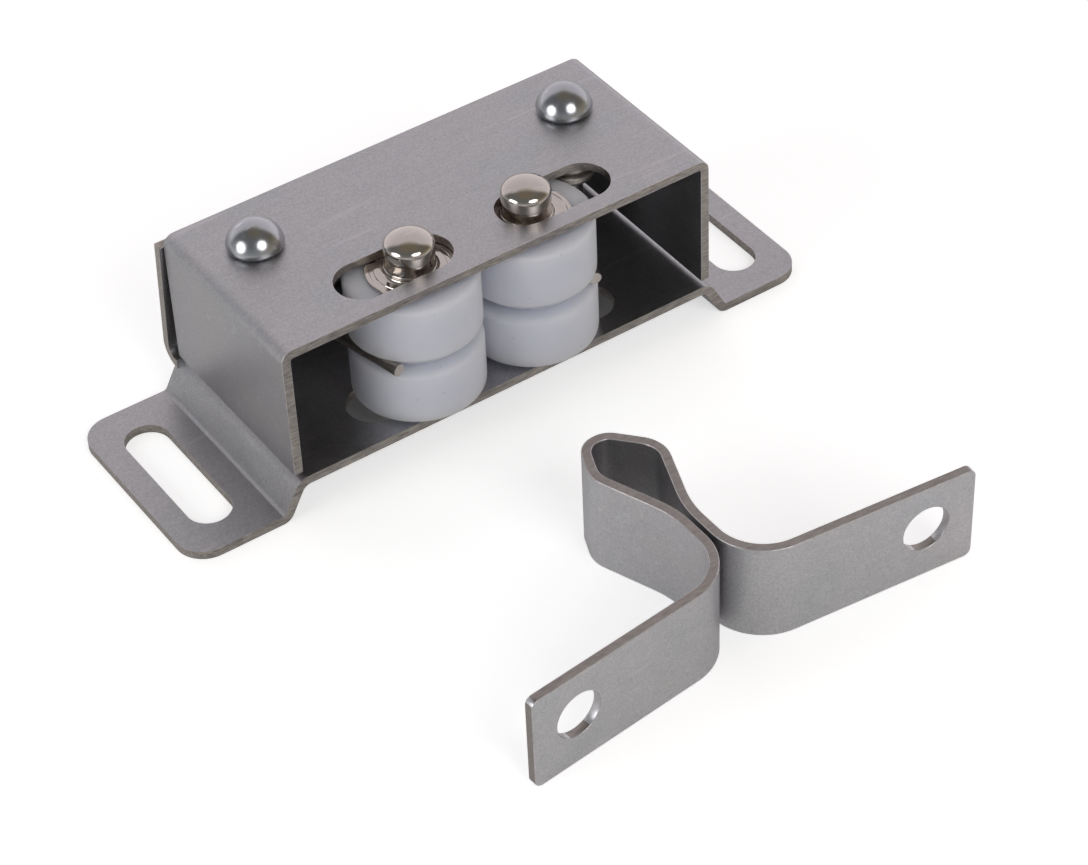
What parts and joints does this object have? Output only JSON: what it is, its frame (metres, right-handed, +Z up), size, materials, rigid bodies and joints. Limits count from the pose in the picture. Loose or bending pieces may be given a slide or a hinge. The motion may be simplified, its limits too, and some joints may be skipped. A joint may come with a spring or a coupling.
{
  "type": "grab catch",
  "caption": "Grab catch: sprung nylon rollers in a folded steel case with slotted ears, with the bulb-nosed strip strike that they grip.",
  "frame": {"origin": "Centre of the pattern of the two ear slots, on the plane of the ears' undersides, where the catch is screwed down.", "axes": "+X along the case from ear to ear, +Z up from the mounting surface, -Y out of the mouth, towards the strike."},
  "size_m": [0.082, 0.075, 0.0258],
  "materials": {
    "case_steel": "satin",
    "strike_steel": "satin",
    "zinc_steel": "bright zinc",
    "nickel": "polished nickel",
    "spring_wire": "drawn wire",
    "nylon": "natural nylon"
  },
  "bodies": {
    "case": {"cover": "case_steel", "base": "case_steel", "post_left": "zinc_steel", "post_right": "zinc_steel", "strike": "strike_steel"},
    "carriage_left": {"pin_left": "nickel", "upper_bush_left": "nickel", "lower_bush_left": "nickel"},
    "roller_left": {"roller_left": "nylon"},
    "spring_left": {"spring_left": "spring_wire"},
    "carriage_right": {"pin_right": "nickel", "upper_bush_right": "nickel", "lower_bush_right": "nickel"},
    "roller_right": {"roller_right": "nylon"},
    "spring_right": {"spring_right": "spring_wire"}
  },
  "joints": [
    {"name": "roller_slide_left", "type": "slide", "parent": "case", "child": "carriage_left", "axis": [-1, 0, 0], "range_m": [0, 0.00595], "stiffness_N_per_m": 600, "springref_m": -0.003},
    {"name": "roller_spin_left", "type": "hinge", "parent": "carriage_left", "child": "roller_left", "pos_m": [-0.00825, -0.0071, 0.01315], "axis": [0, 0, 1], "continuous": true},
    {"name": "spring_swing_left", "type": "hinge", "parent": "case", "child": "spring_left", "pos_m": [-0.02025, 0.0049, 0.0132], "axis": [0, 0, -1], "range_deg": [0, 28.5], "deforming": ["spring_left"]},
    {"name": "roller_slide_right", "type": "slide", "parent": "case", "child": "carriage_right", "axis": [1, 0, 0], "range_m": [0, 0.00735], "stiffness_N_per_m": 600, "springref_m": -0.003},
    {"name": "roller_spin_right", "type": "hinge", "parent": "carriage_right", "child": "roller_right", "pos_m": [0.00685, -0.0071, 0.01315], "axis": [0, 0, 1], "continuous": true},
    {"name": "spring_swing_right", "type": "hinge", "parent": "case", "child": "spring_right", "pos_m": [0.02025, 0.0049, 0.0132], "axis": [0, 0, 1], "range_deg": [0, 33.7], "deforming": ["spring_right"]}
  ],
  "couplings": [
    {"joint": "spring_swing_left", "follows": "roller_slide_left", "rad_per_m": 83.55},
    {"joint": "spring_swing_right", "follows": "roller_slide_right", "rad_per_m": 79.98}
  ]
}
